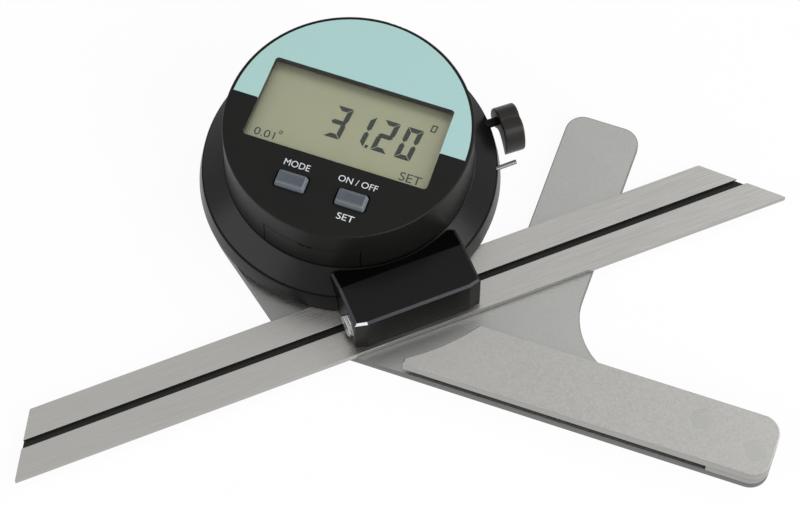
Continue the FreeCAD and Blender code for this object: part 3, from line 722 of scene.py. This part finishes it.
@dataclass
class Stock:
    """Base plate with its arm, the spacer and lip of the stock bar, and their rivets."""

    edge_radius: float = 0.25
    joint_share: float = 0.1
    side_slope: float = 0.97
    rivet_places: tuple[tuple[float, float], ...] = ((114.0, -38.6), (100.1, -35.2))
    rivet_reach: float = 2.8

    def build(self) -> None:
        """Build and dress the stock's pieces."""
        edges = Rounding(self.edge_radius, share_at=self.share_at)
        plates = {"base_plate": PLATE_METAL, "stock_spacer": PLATE_METAL, "stock_lip": BAR_METAL}
        for node, finish in plates.items():
            piece = redress(node, f"{node}_finished", finish, Body.STOCK, edges)
            if node == "base_plate":
                # the plate's upright sides get painted shade
                paint(piece, PLATE_SIDE_SHADE, lambda middle, normal: abs(normal.z) < self.side_slope)
        flush = Rounding(self.edge_radius * self.joint_share)
        redress("stock_rivets", "stock_rivets_finished", RIVET_METAL, Body.STOCK, flush)

    def share_at(self, place: Vector) -> float:
        """Keep the edges of the rivets' holes nearly sharp."""
        near = min(math.hypot(place.x - x, place.y - y) for x, y in self.rivet_places)
        return self.joint_share if near < self.rivet_reach else 1.0


@dataclass
class Hub:
    """The fixed hub under the head, its washer and its screws."""

    socket_across: float = 2.2
    socket_depth: float = 1.3
    screw_radius: float = 0.12
    screw_circle: float = 15.5
    screw_count: int = 3

    def build(self) -> None:
        """Build the hub's screws with their sockets and dress the rest."""
        coat_nodes({"pivot_hub": HUB_METAL, "thrust_washer": WASHER_WHITE})
        screws = copy_of("hub_screws", "hub_screws_finished")
        cutters = []
        for index in range(self.screw_count):
            turn = 2 * math.pi * index / self.screw_count
            place = Vector((math.cos(turn), math.sin(turn), 0)) * self.screw_circle
            cutters.append(hex_socket(place, self.socket_across, self.socket_depth))
        cut_away(screws, joined(cutters, "sockets"))
        round_edges(screws, Rounding(self.screw_radius))
        hand_over(screws, SCREW_METAL, Body.STOCK, "hub_screws")


def hex_socket(place: Vector, across: float, depth: float) -> Piece:
    """Make the tool that cuts a screw's hexagon socket.

    Args:
        place: the middle of the socket's mouth, in millimetres.
        across: distance between two opposite flats.
        depth: how deep the socket goes.

    Returns:
        A hexagonal plug with a pointed end, half of it outside the screw.
    """
    radius = across / math.sqrt(3)
    bpy.ops.mesh.primitive_cylinder_add(
        vertices=6, radius=radius * MM, depth=depth * 2 * MM, location=(0, 0, 0)
    )
    tool = bpy.context.object
    pick(tool, "FACE", lambda middle, normal: normal.z > LEVEL)
    draw_out(0, 0, radius / 2)
    bpy.ops.mesh.merge(type="CENTER")
    let_go()
    tool.data.transform(Matrix.Translation(place * MM))
    return tool


# The turning head and its clamp

@dataclass
class TurningHead:
    """The heavy black ring with its conical top, its pin and the parts inside it."""

    edge_radius: float = 0.2
    pin_edge: float = 0.12
    rim_height: float = 9.36
    rim_band: float = 0.16
    rim_slopes: tuple[float, float] = (0.2, 0.65)
    rim_radius: float = 36.0
    rim_depth: float = 0.25

    def build(self) -> None:
        """Build and dress the head's pieces."""
        edges = Rounding(self.edge_radius)
        ring = redress("turret_ring", "ring_finished", HEAD_BLACK, Body.HEAD, edges)
        pick(ring, "FACE", self.on_rim)
        bpy.ops.mesh.extrude_region_shrink_fatten(
            TRANSFORM_OT_shrink_fatten={"value": -self.rim_depth * MM}
        )
        let_go()
        # the sunk groove's faces get painted shade
        paint(ring, RIM_GROOVE_SHADE, self.in_gap)
        redress("index_pin", "pin_finished", PIN_METAL, Body.HEAD, Rounding(self.pin_edge))
        coat_nodes({
            "encoder_rotor": ENCODER_GREEN,
            "brake_shoe": SHOE_METAL,
            "clamp_screws": SCREW_METAL,
        })

    def on_rim(self, middle: Vector, normal: Vector) -> bool:
        """Tell whether a face lies on the narrow band between the cone and the wall."""
        near = abs(middle.z - self.rim_height) < self.rim_band and self.rim_slopes[0] < normal.z
        return near and normal.z < self.rim_slopes[1] and self.inset(middle) < self.edge_radius * 2

    def in_gap(self, middle: Vector, normal: Vector) -> bool:
        """Tell whether a face lies in the fine groove sunk along that band."""
        near = abs(middle.z - self.rim_height) < self.rim_band + self.rim_depth
        return near and self.rim_depth / 2 < self.inset(middle) < self.rim_depth * 2

    def inset(self, place: Vector) -> float:
        """Tell how far a place lies inside the rim's radius."""
        return self.rim_radius - math.hypot(place.x, place.y)


@dataclass
class BladeClamp:
    """The clamp's housing on the ring, its hook and the spindle that draws it up."""

    housing_edge: float = 0.12
    housing_crease: float = 12.0
    spindle_edge: float = 0.15
    spindle_end: float = -15.5
    bevel_slopes: tuple[float, float] = (0.55, 0.85)
    heel_slopes: tuple[float, float] = (0.93, 0.97)
    corner_share: float = 0.6
    corner_turn: float = 225.0
    right_share: float = 0.5

    def build(self) -> None:
        """Build and dress the clamp's pieces."""
        edges = Rounding(self.housing_edge, crease=self.housing_crease)
        housing = redress("clamp_housing", "housing_finished", CLAMP_BLACK, Body.HEAD, edges)
        # walls and heel get painted shade, front and left bevels a painted highlight, the front
        # corner a painted glint
        paint(housing, CLAMP_SHADE, self.in_shade)
        paint(housing, CLAMP_BEVEL_HIGHLIGHT, self.on_bevel)
        paint(housing, CORNER_GLINT, self.on_corner)
        end = Rounding(self.spindle_edge, share_at=self.at_spindle_end)
        redress("clamp_spindle", "spindle_finished", BRIGHT_METAL, Body.CLAMP, end)
        coat_nodes({"clamp_hook": SCREW_METAL})

    def in_shade(self, middle: Vector, normal: Vector) -> bool:
        """Tell whether a face is a wall of the block or the heel that slopes to the drum; both get
        painted shade.
        """
        wall = abs(normal.z) < self.bevel_slopes[0]
        return wall or self.heel_slopes[0] < normal.z < self.heel_slopes[1]

    def on_bevel(self, middle: Vector, normal: Vector) -> bool:
        """Tell whether a face is a bevel along the block's front or left top edge, which gets a
        painted highlight.
        """
        sloping = self.bevel_slopes[0] < normal.z < self.bevel_slopes[1]
        return sloping and reach_along(normal, BLADE_ANGLE) < self.right_share

    def on_corner(self, middle: Vector, normal: Vector) -> bool:
        """Tell whether a face is the top bevel of the block's front corner, which gets a painted
        glint.
        """
        facing = reach_along(normal, BLADE_ANGLE + self.corner_turn)
        return self.on_bevel(middle, normal) and facing > self.corner_share

    def at_spindle_end(self, place: Vector) -> float:
        """Round the end of the spindle that stands out, and leave its cam as turned."""
        return float(reach_along(place, BLADE_ANGLE) < self.spindle_end)


@dataclass
class Lock:
    """The locking screw and the lever on its end."""

    lever_edge: float = 0.3
    lever_segments: int = 3
    screw_edge: float = 0.12

    def build(self) -> None:
        """Build and dress the lock's pieces."""
        soft, fine = Rounding(self.lever_edge, self.lever_segments), Rounding(self.screw_edge)
        redress("lock_lever", "lever_finished", LEVER_BLACK, Body.LOCK, soft)
        redress("lock_screw", "lock_screw_finished", SCREW_BLACK, Body.LOCK, fine)


@dataclass
class Blade:
    """The long ground blade with its clamping groove, dark inside as blackened steel and painted
    shade.
    """

    edge_radius: float = 0.14
    groove_line: float = -37.4
    groove_half: float = 1.7
    skin: float = 0.1

    def build(self) -> None:
        """Build the blade and darken the inside of its groove: blackened steel together with
        painted shade.
        """
        edges = Rounding(self.edge_radius)
        blade = redress("blade", "blade_finished", BLADE_METAL, Body.BLADE, edges)
        paint(blade, GROOVE_BLACK_AND_SHADE, self.in_groove)

    def in_groove(self, middle: Vector, normal: Vector) -> bool:
        """Tell whether a face is a wall or the floor of the groove, not the underside."""
        beside = abs(reach_along(middle, BLADE_ANGLE + 90) - self.groove_line) < self.groove_half
        return beside and middle.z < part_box("blade")[1].z / MM - self.skin and normal.z > -LEVEL


# The display

class Figure(Enum):
    """Bars that a seven-bar figure lights, by their usual letters."""

    ZERO = "abcdef"
    ONE = "bc"
    TWO = "abged"
    THREE = "abgcd"


@dataclass
class Reading:
    """The slanted seven-bar figures of the display and the marks beside them."""

    middle: float = 1.38
    height: float = 8.85
    width: float = 4.0
    bar: float = 1.2
    gap: float = 0.12
    slant: float = 0.085
    film: float = 0.04
    first: float = -3.0
    pitch: float = 5.9
    point_place: tuple[float, float] = (5.3, -2.6)
    point_size: tuple[float, float] = (0.75, 0.85)
    degree_place: tuple[float, float] = (19.0, 7.2)
    degree_size: tuple[float, float] = (1.35, 1.95)
    degree_line: float = 0.32
    small_degree_place: tuple[float, float] = (-15.05, -5.7)
    small_degree_size: tuple[float, float] = (0.75, 0.9)
    small_degree_line: float = 0.17

    def build(self, face: float) -> Piece:
        """Build the reading as one thin mesh.

        Args:
            face: height of the display's face, in millimetres.

        Returns:
            The joined figures and marks.
        """
        bars = []
        for index, figure in enumerate((Figure.THREE, Figure.ONE, Figure.TWO, Figure.ZERO)):
            for letter in figure.value:
                bars.append(self.placed_bar(letter, self.first + index * self.pitch))
        bars.append(self.slab(self.point_size, self.point_place))
        bars.append(self.frame_mark(self.degree_size, self.degree_place, self.degree_line))
        bars.append(
            self.frame_mark(self.small_degree_size, self.small_degree_place, self.small_degree_line)
        )
        reading = joined(bars, "display_figures")
        thick = reading.modifiers.new("film", "SOLIDIFY")
        thick.thickness = self.film * MM
        thick.offset = 0
        apply_all(reading)
        reading.data.transform(Matrix.Translation((0, 0, (face + self.film / 2) * MM)))
        clean(reading)
        return reading

    def slab(self, size: Sequence[float], place: Sequence[float]) -> Piece:
        """Lay down a flat slanted slab.

        Args:
            size: its width and height.
            place: its middle.

        Returns:
            The slab.
        """
        slab = self.plain_bar(*size)
        self.lay(slab, place)
        return slab

    def lay(self, mark: Piece, place: Sequence[float]) -> None:
        """Slant a mark that is drawn round the origin and move it to its place.

        Args:
            mark: the mark.
            place: its middle on the display.
        """
        slanted = Matrix.Identity(4)
        slanted[0][1] = self.slant
        mark.data.transform(Matrix.Translation((place[0] * MM, place[1] * MM, 0)) @ slanted)

    def frame_mark(self, size: Sequence[float], place: Sequence[float], line: float) -> Piece:
        """Draw a small open frame, as the display shows a degree sign.

        Args:
            size: its width and height.
            place: its middle.
            line: how wide its line is.

        Returns:
            The frame.
        """
        mark = self.slab(size, place)
        edit(mark)
        bpy.ops.mesh.select_mode(type="FACE")
        bpy.ops.mesh.inset(thickness=line * MM)
        bpy.ops.mesh.delete(type="FACE")
        let_go()
        return mark

    def placed_bar(self, letter: str, middle: float) -> Piece:
        """Make one lit bar of a figure.

        Args:
            letter: the bar's usual letter, from a to g.
            middle: the figure's middle along X.

        Returns:
            The bar, in its place on the display.
        """
        reach = (self.width - self.bar) / 2
        rise = (self.height - self.bar) / 2
        across = Matrix.Scale(-1, 4, (1, 0, 0))
        over = Matrix.Scale(-1, 4, (0, 1, 0))
        if letter in "ad":
            bar, spot = self.level_bar(pointed=False), (0.0, rise)
        elif letter == "g":
            bar, spot = self.level_bar(pointed=True), (0.0, 0.0)
        else:
            bar, spot = self.upright_bar(), (reach, rise / 2)
        shift = Matrix.Translation((spot[0] * MM, spot[1] * MM, 0))
        if letter in "cde":
            shift = over @ shift
        if letter in "ef":
            shift = across @ shift
        bar.data.transform(shift)
        self.lay(bar, (middle, self.middle))
        return bar

    def level_bar(self, pointed: bool) -> Piece:
        """Make a level bar round the origin.

        Args:
            pointed: pointed at both ends, or with a longer upper edge.

        Returns:
            The bar.
        """
        length = self.width - self.gap * 2
        bar = self.plain_bar(length - self.bar if pointed else length, self.bar)
        if pointed:
            for side in (-1, 1):
                pick(bar, "VERT", lambda place, normal: place.x * side > 0)
                draw_out(side * self.bar / 2, 0, 0)
                bpy.ops.mesh.merge(type="CENTER")
        else:
            pick(bar, "VERT", lambda place, normal: place.y < 0)
            bpy.ops.transform.resize(value=(1 - self.bar * 2 / length, 1, 1))
        let_go()
        return bar

    def upright_bar(self) -> Piece:
        """Make the upper right bar round the origin, mitred above and pointed below.

        Returns:
            The bar.
        """
        length = (self.height - self.bar) / 2 - self.gap * 2
        bar = self.plain_bar(self.bar, length)
        half = self.bar / 2
        pick(bar, "VERT", lambda place, normal: place.y > 0)
        bpy.ops.transform.translate(value=(0, half * MM, 0))
        pick(bar, "VERT", lambda place, normal: place.y > 0 and place.x < 0)
        bpy.ops.transform.translate(value=(0, -self.bar * MM, 0))
        pick(bar, "VERT", lambda place, normal: place.y < 0)
        draw_out(0, -half, 0)
        bpy.ops.mesh.merge(type="CENTER")
        pick(bar, "VERT", lambda place, normal: place.y < 0)
        bpy.ops.transform.translate(value=(0, half * MM, 0))
        let_go()
        return bar

    @staticmethod
    def plain_bar(width: float, height: float) -> Piece:
        """Lay a flat bar round the origin.

        Args:
            width: its size along X.
            height: its size along Y.

        Returns:
            The bar.
        """
        bpy.ops.mesh.primitive_plane_add(size=1, location=(0, 0, 0))
        bar = bpy.context.object
        edit(bar)
        bpy.ops.transform.resize(value=(width * MM, height * MM, 1))
        let_go()
        return bar


@dataclass(frozen=True)
class Lettering:
    """A word in thin raised strokes, fitted to a box on a level face."""

    words: str
    name: str
    middle: tuple[float, float]
    size: tuple[float, float]
    film: float = 0.03

    def build(self, face: float) -> Piece:
        """Build the word as a mesh on its face.

        Args:
            face: height of the face that it is printed on, in millimetres.

        Returns:
            The word's mesh.
        """
        let_go()
        bpy.ops.object.text_add(location=(0, 0, 0))
        text = bpy.context.object
        text.data.body = self.words
        text.data.extrude = 0.5     # any depth will do, since the word is fitted below
        take(text)
        bpy.ops.object.convert(target="MESH")
        word = bpy.context.object
        word.name = self.name
        word.data.materials.clear()
        corners = [vertex.co for vertex in word.data.vertices]
        low = Vector([min(corner[axis] for corner in corners) for axis in range(3)])
        high = Vector([max(corner[axis] for corner in corners) for axis in range(3)])
        wide, tall, deep = high - low
        sizes = (self.size[0] / wide * MM, self.size[1] / tall * MM, self.film / deep * MM, 1.0)
        place = Vector((*self.middle, face + self.film / 2)) * MM
        centred = Matrix.Translation(-(low + high) / 2)
        word.data.transform(Matrix.Translation(place) @ Matrix.Diagonal(sizes) @ centred)
        clean(word)
        return word


@dataclass
class Display:
    """The display's panel under its window, its figures and what it stands on."""

    words: tuple[Lettering, ...] = (
        Lettering("0.01", "display_step", (-18.7, -7.15), (5.1, 2.0)),
        Lettering("SET", "display_set", (18.1, -7.35), (5.4, 2.3)),
    )
    pane_edge: float = 0.16
    side_slope: float = 0.5

    def build(self) -> None:
        """Build the window and the figures, and dress the board below them."""
        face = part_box("display_panel")[1].z / MM
        hand_over(Reading().build(face), FIGURE_INK, Body.STOCK)
        for word in self.words:
            hand_over(word.build(face), FIGURE_INK, Body.STOCK)
        edges = Rounding(self.pane_edge)
        window = redress("display_window", "window_finished", WINDOW_PANE, Body.STOCK, edges)
        # the pane's side faces get painted shade
        paint(window, WINDOW_SIDE_SHADE, lambda middle, normal: abs(normal.z) < self.side_slope)
        coat_nodes({
            "display_panel": DISPLAY_GREY,
            "panel_connectors": CONNECTOR_GREY,
            "circuit_board": BOARD_GREEN,
            "board_screws": SCREW_METAL,
            "display_chip": CHIP_BLACK,
            "button_switches": CONTACT_METAL,
        })


@dataclass
class PushButtons:
    """The two buttons, shaped alike, each on its own body."""

    edge_radius: float = 0.4
    edge_segments: int = 3
    rim_slopes: tuple[float, float] = (0.1, 0.97)
    top_slope: float = 0.99
    dish_step: float = 0.03
    dish_shares: tuple[float, ...] = (0.92, 0.8, 0.6)

    def build(self) -> None:
        """Build both buttons."""
        bodies = {"mode_button": Body.LEFT_BUTTON, "set_button": Body.RIGHT_BUTTON}
        for node, body in bodies.items():
            button = hand_over(self.cap(node), BUTTON_GREY, body, node)
            # the rounded top edge gets a painted highlight
            paint(button, BUTTON_RIM_HIGHLIGHT, self.on_rim)

    def on_rim(self, middle: Vector, normal: Vector) -> bool:
        """Tell whether a face belongs to the rounded edge round a button's top, which gets a
        painted highlight.
        """
        return self.rim_slopes[0] < normal.z < self.rim_slopes[1]

    def cap(self, node: str) -> Piece:
        """Shape one button from its node: rounded top edge and a shallow dish.

        Args:
            node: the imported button.

        Returns:
            The finished button.
        """
        button = copy_of(node, f"{node}_finished")
        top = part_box(node)[1].z / MM - FINEST * 2
        round_edges(button, Rounding(self.edge_radius, self.edge_segments))
        pick(button, "FACE", lambda middle, normal: normal.z > self.top_slope and middle.z > top)
        for share in self.dish_shares:
            draw_out(0, 0, -self.dish_step)
            bpy.ops.transform.resize(value=(share, share, 1))
        let_go()
        bpy.ops.object.shade_smooth_by_angle(angle=math.radians(CREASE))
        return button


@dataclass
class Case:
    """The round display case with its floor, its label, its lettering and set screws."""

    shell_edge: float = 0.12
    label_edge: float = 0.03
    screw_edge: float = 0.05
    face_depth: float = 1.0
    opening_reach: float = 0.8
    words: tuple[Lettering, ...] = (
        Lettering("MODE", "word_mode", (-7.72, -14.15), (6.35, 1.7)),
        Lettering("ON / OFF", "word_on_off", (7.45, -14.0), (9.7, 1.65)),
        Lettering("SET", "word_set", (7.68, -23.55), (4.2, 1.7)),
    )

    def build(self) -> None:
        """Build and dress the case's pieces."""
        shell = Rounding(self.shell_edge, share_at=self.share_at())
        pieces = (
            ("front_case", "case_finished", CASE_BLACK, shell),
            ("label_panel", "label_finished", LABEL_BLUE, Rounding(self.label_edge)),
            ("case_screws", "case_screws_finished", SCREW_METAL, Rounding(self.screw_edge)),
        )
        for node, name, finish, rounding in pieces:
            redress(node, name, finish, Body.STOCK, rounding)
        coat_nodes({
            "case_floor_plate": CASE_BLACK,
            "floor_screws": SCREW_METAL,
            "encoder_stator": ENCODER_GREEN,
        })
        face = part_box("label_panel")[1].z / MM
        for word in self.words:
            hand_over(word.build(face), LETTER_INK, Body.STOCK)

    def share_at(self) -> Callable[[Vector], float]:
        """Choose the edges to round: the wall's and the openings', not the label's recess.

        Returns:
            The share of the rounding that an edge takes, by its middle.
        """
        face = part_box("label_panel")[0].z / MM - self.face_depth
        openings = [
            [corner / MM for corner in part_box(node)]
            for node in ("display_window", "mode_button", "set_button")
        ]
        reach = self.opening_reach

        def share(place: Vector) -> float:
            """Give the share at one place: whole, or none on the recess."""
            if place.z < face:
                return 1.0
            for low, high in openings:
                near_x = low.x - reach < place.x < high.x + reach
                if near_x and low.y - reach < place.y < high.y + reach:
                    return 1.0
            return 0.0

        return share


@dataclass
class BatteryBay:
    """The battery's tray in the case's wall, its cell and its contacts."""

    tray_edge: float = 0.12
    pry_size: Triple = (1.65, 1.2, 1.6)
    pry_middle: float = 0.975

    def build(self) -> None:
        """Build the tray with its two pry slots and dress the battery's other pieces."""
        tray = copy_of("battery_tray", "tray_finished")
        low, high = (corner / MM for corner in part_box("battery_tray"))
        for side in (-1, 1):
            bpy.ops.mesh.primitive_cube_add(size=1, location=(0, 0, 0))
            tool = bpy.context.object
            fit = Matrix.Diagonal((*(length * MM for length in self.pry_size), 1.0))
            place = Vector((side * self.pry_middle, low.y, high.z))
            tool.data.transform(Matrix.Translation(place * MM) @ fit)
            cut_away(tray, tool)
        round_edges(tray, Rounding(self.tray_edge))
        hand_over(tray, CASE_BLACK, Body.STOCK, "battery_tray")
        coat_nodes({"battery_cell": CELL_METAL, "battery_contacts": CONTACT_METAL})


# The studio

@dataclass
class SoftLight:
    """One square lamp that looks at the object."""

    name: str
    place: Triple
    size: float
    power: float

    def build(self) -> None:
        """Hang the lamp, in metres, and turn it to the object."""
        lamp = bpy.data.lights.new(self.name, "AREA")
        lamp.shape = "SQUARE"
        lamp.size = self.size
        lamp.energy = self.power
        holder = bpy.data.objects.new(self.name, lamp)
        bpy.context.scene.collection.objects.link(holder)
        holder.location = self.place
        holder.rotation_euler = Vector(self.place).to_track_quat("Z", "Y").to_euler()


@dataclass
class Studio:
    """White floor, white surroundings, soft lamps and the camera."""

    azimuth: float = 19.42
    elevation: float = 63.08
    distance: float = 0.74535
    target: Triple = (0.017808, -0.013875, 0.0)
    lens: float = 138.27
    sensor: float = 36.0
    floor_radius: float = 2.5
    floor_drop: float = 0.02
    floor_tone: Triple = (245, 245, 245)
    floor_glow: float = 0.94
    ambient: float = 0.3
    lamps: tuple[SoftLight, ...] = (
        SoftLight("right_lamp", (1.14, -0.31, 0.56), 1.15, 17.0),
        SoftLight("left_lamp", (-0.88, -0.76, 0.6), 1.15, 9.5),
        SoftLight("back_lamp", (0.6, 0.9, 1.2), 0.5, 6.0),
    )

    def build(self) -> None:
        """Set up the whole studio."""
        self.floor()
        self.surroundings()
        for lamp in self.lamps:
            lamp.build()
        self.camera()
        bpy.context.scene.view_settings.view_transform = "Standard"

    @staticmethod
    def seen(tree: Tree) -> Socket:
        """Tell rays from the camera, a gloss or a clear pane from all others.

        Args:
            tree: the node tree to add to.

        Returns:
            A value of 1 for such a ray, or else 0.
        """
        path = tree.nodes.new("ShaderNodeLightPath")
        result = path.outputs["Is Camera Ray"]
        for kind in ("Is Glossy Ray", "Is Transmission Ray"):
            both = {0: result, 1: path.outputs[kind]}
            result = add_node(tree, "ShaderNodeMath", both, operation="MAXIMUM").outputs[0]
        return result

    def floor(self) -> None:
        """Lay a round white floor that keeps the object's shadow."""
        bpy.ops.mesh.primitive_circle_add(
            vertices=64, radius=self.floor_radius, fill_type="NGON", location=(0, 0, 0)
        )
        floor = bpy.context.object
        floor.name = "floor"
        floor.data.transform(Matrix.Translation((0, 0, -self.floor_drop * MM)))
        material = fresh_material("floor_white")
        tree = material.node_tree
        tree.nodes.remove(tree.nodes["Principled BSDF"])
        matt = add_node(tree, "ShaderNodeBsdfDiffuse", {"Color": linear(self.floor_tone)})
        glow = add_node(tree, "ShaderNodeEmission", {})
        factors = {0: self.seen(tree), 1: self.floor_glow}
        share = add_node(tree, "ShaderNodeMath", factors, operation="MULTIPLY")
        mix = add_node(tree, "ShaderNodeMixShader", {
            0: share.outputs[0], 1: matt.outputs[0], 2: glow.outputs[0],
        })
        fill(tree, tree.nodes["Material Output"], {"Surface": mix.outputs[0]})
        floor.data.materials.append(material)

    def surroundings(self) -> None:
        """Light the surroundings: white to look at, softer as light."""
        world = bpy.data.worlds.new("surroundings")
        world.use_nodes = True
        tree = world.node_tree
        levels = {"Value": self.seen(tree), "To Min": self.ambient, "To Max": 1.0}
        fill(tree, tree.nodes["Background"], {
            "Color": (1, 1, 1, 1),
            "Strength": add_node(tree, "ShaderNodeMapRange", levels).outputs["Result"],
        })
        bpy.context.scene.world = world

    def camera(self) -> None:
        """Set the camera at the photograph's angle."""
        turn, lift = math.radians(self.azimuth), math.radians(self.elevation)
        back = Vector((
            math.sin(turn) * math.cos(lift),
            -math.cos(turn) * math.cos(lift),
            math.sin(lift),
        ))
        data = bpy.data.cameras.new("camera")
        data.lens = self.lens
        data.sensor_width = self.sensor
        data.clip_start = self.distance / 100
        camera = bpy.data.objects.new("camera", data)
        bpy.context.scene.collection.objects.link(camera)
        camera.location = Vector(self.target) + back * self.distance
        camera.rotation_euler = back.to_track_quat("Z", "Y").to_euler()
        bpy.context.scene.camera = camera


def main() -> None:
    """Build every sub-assembly in order, then the studio."""
    logging.basicConfig(level=logging.INFO, format="%(message)s")
    parts = (
        Stock(), Hub(), TurningHead(), BladeClamp(), Lock(), Blade(),
        Display(), PushButtons(), Case(), BatteryBay(),
    )
    for part in parts:
        LOG.info("%s", type(part).__name__)
        part.build()
    Studio().build()


if __name__ == "__main__":
    main()
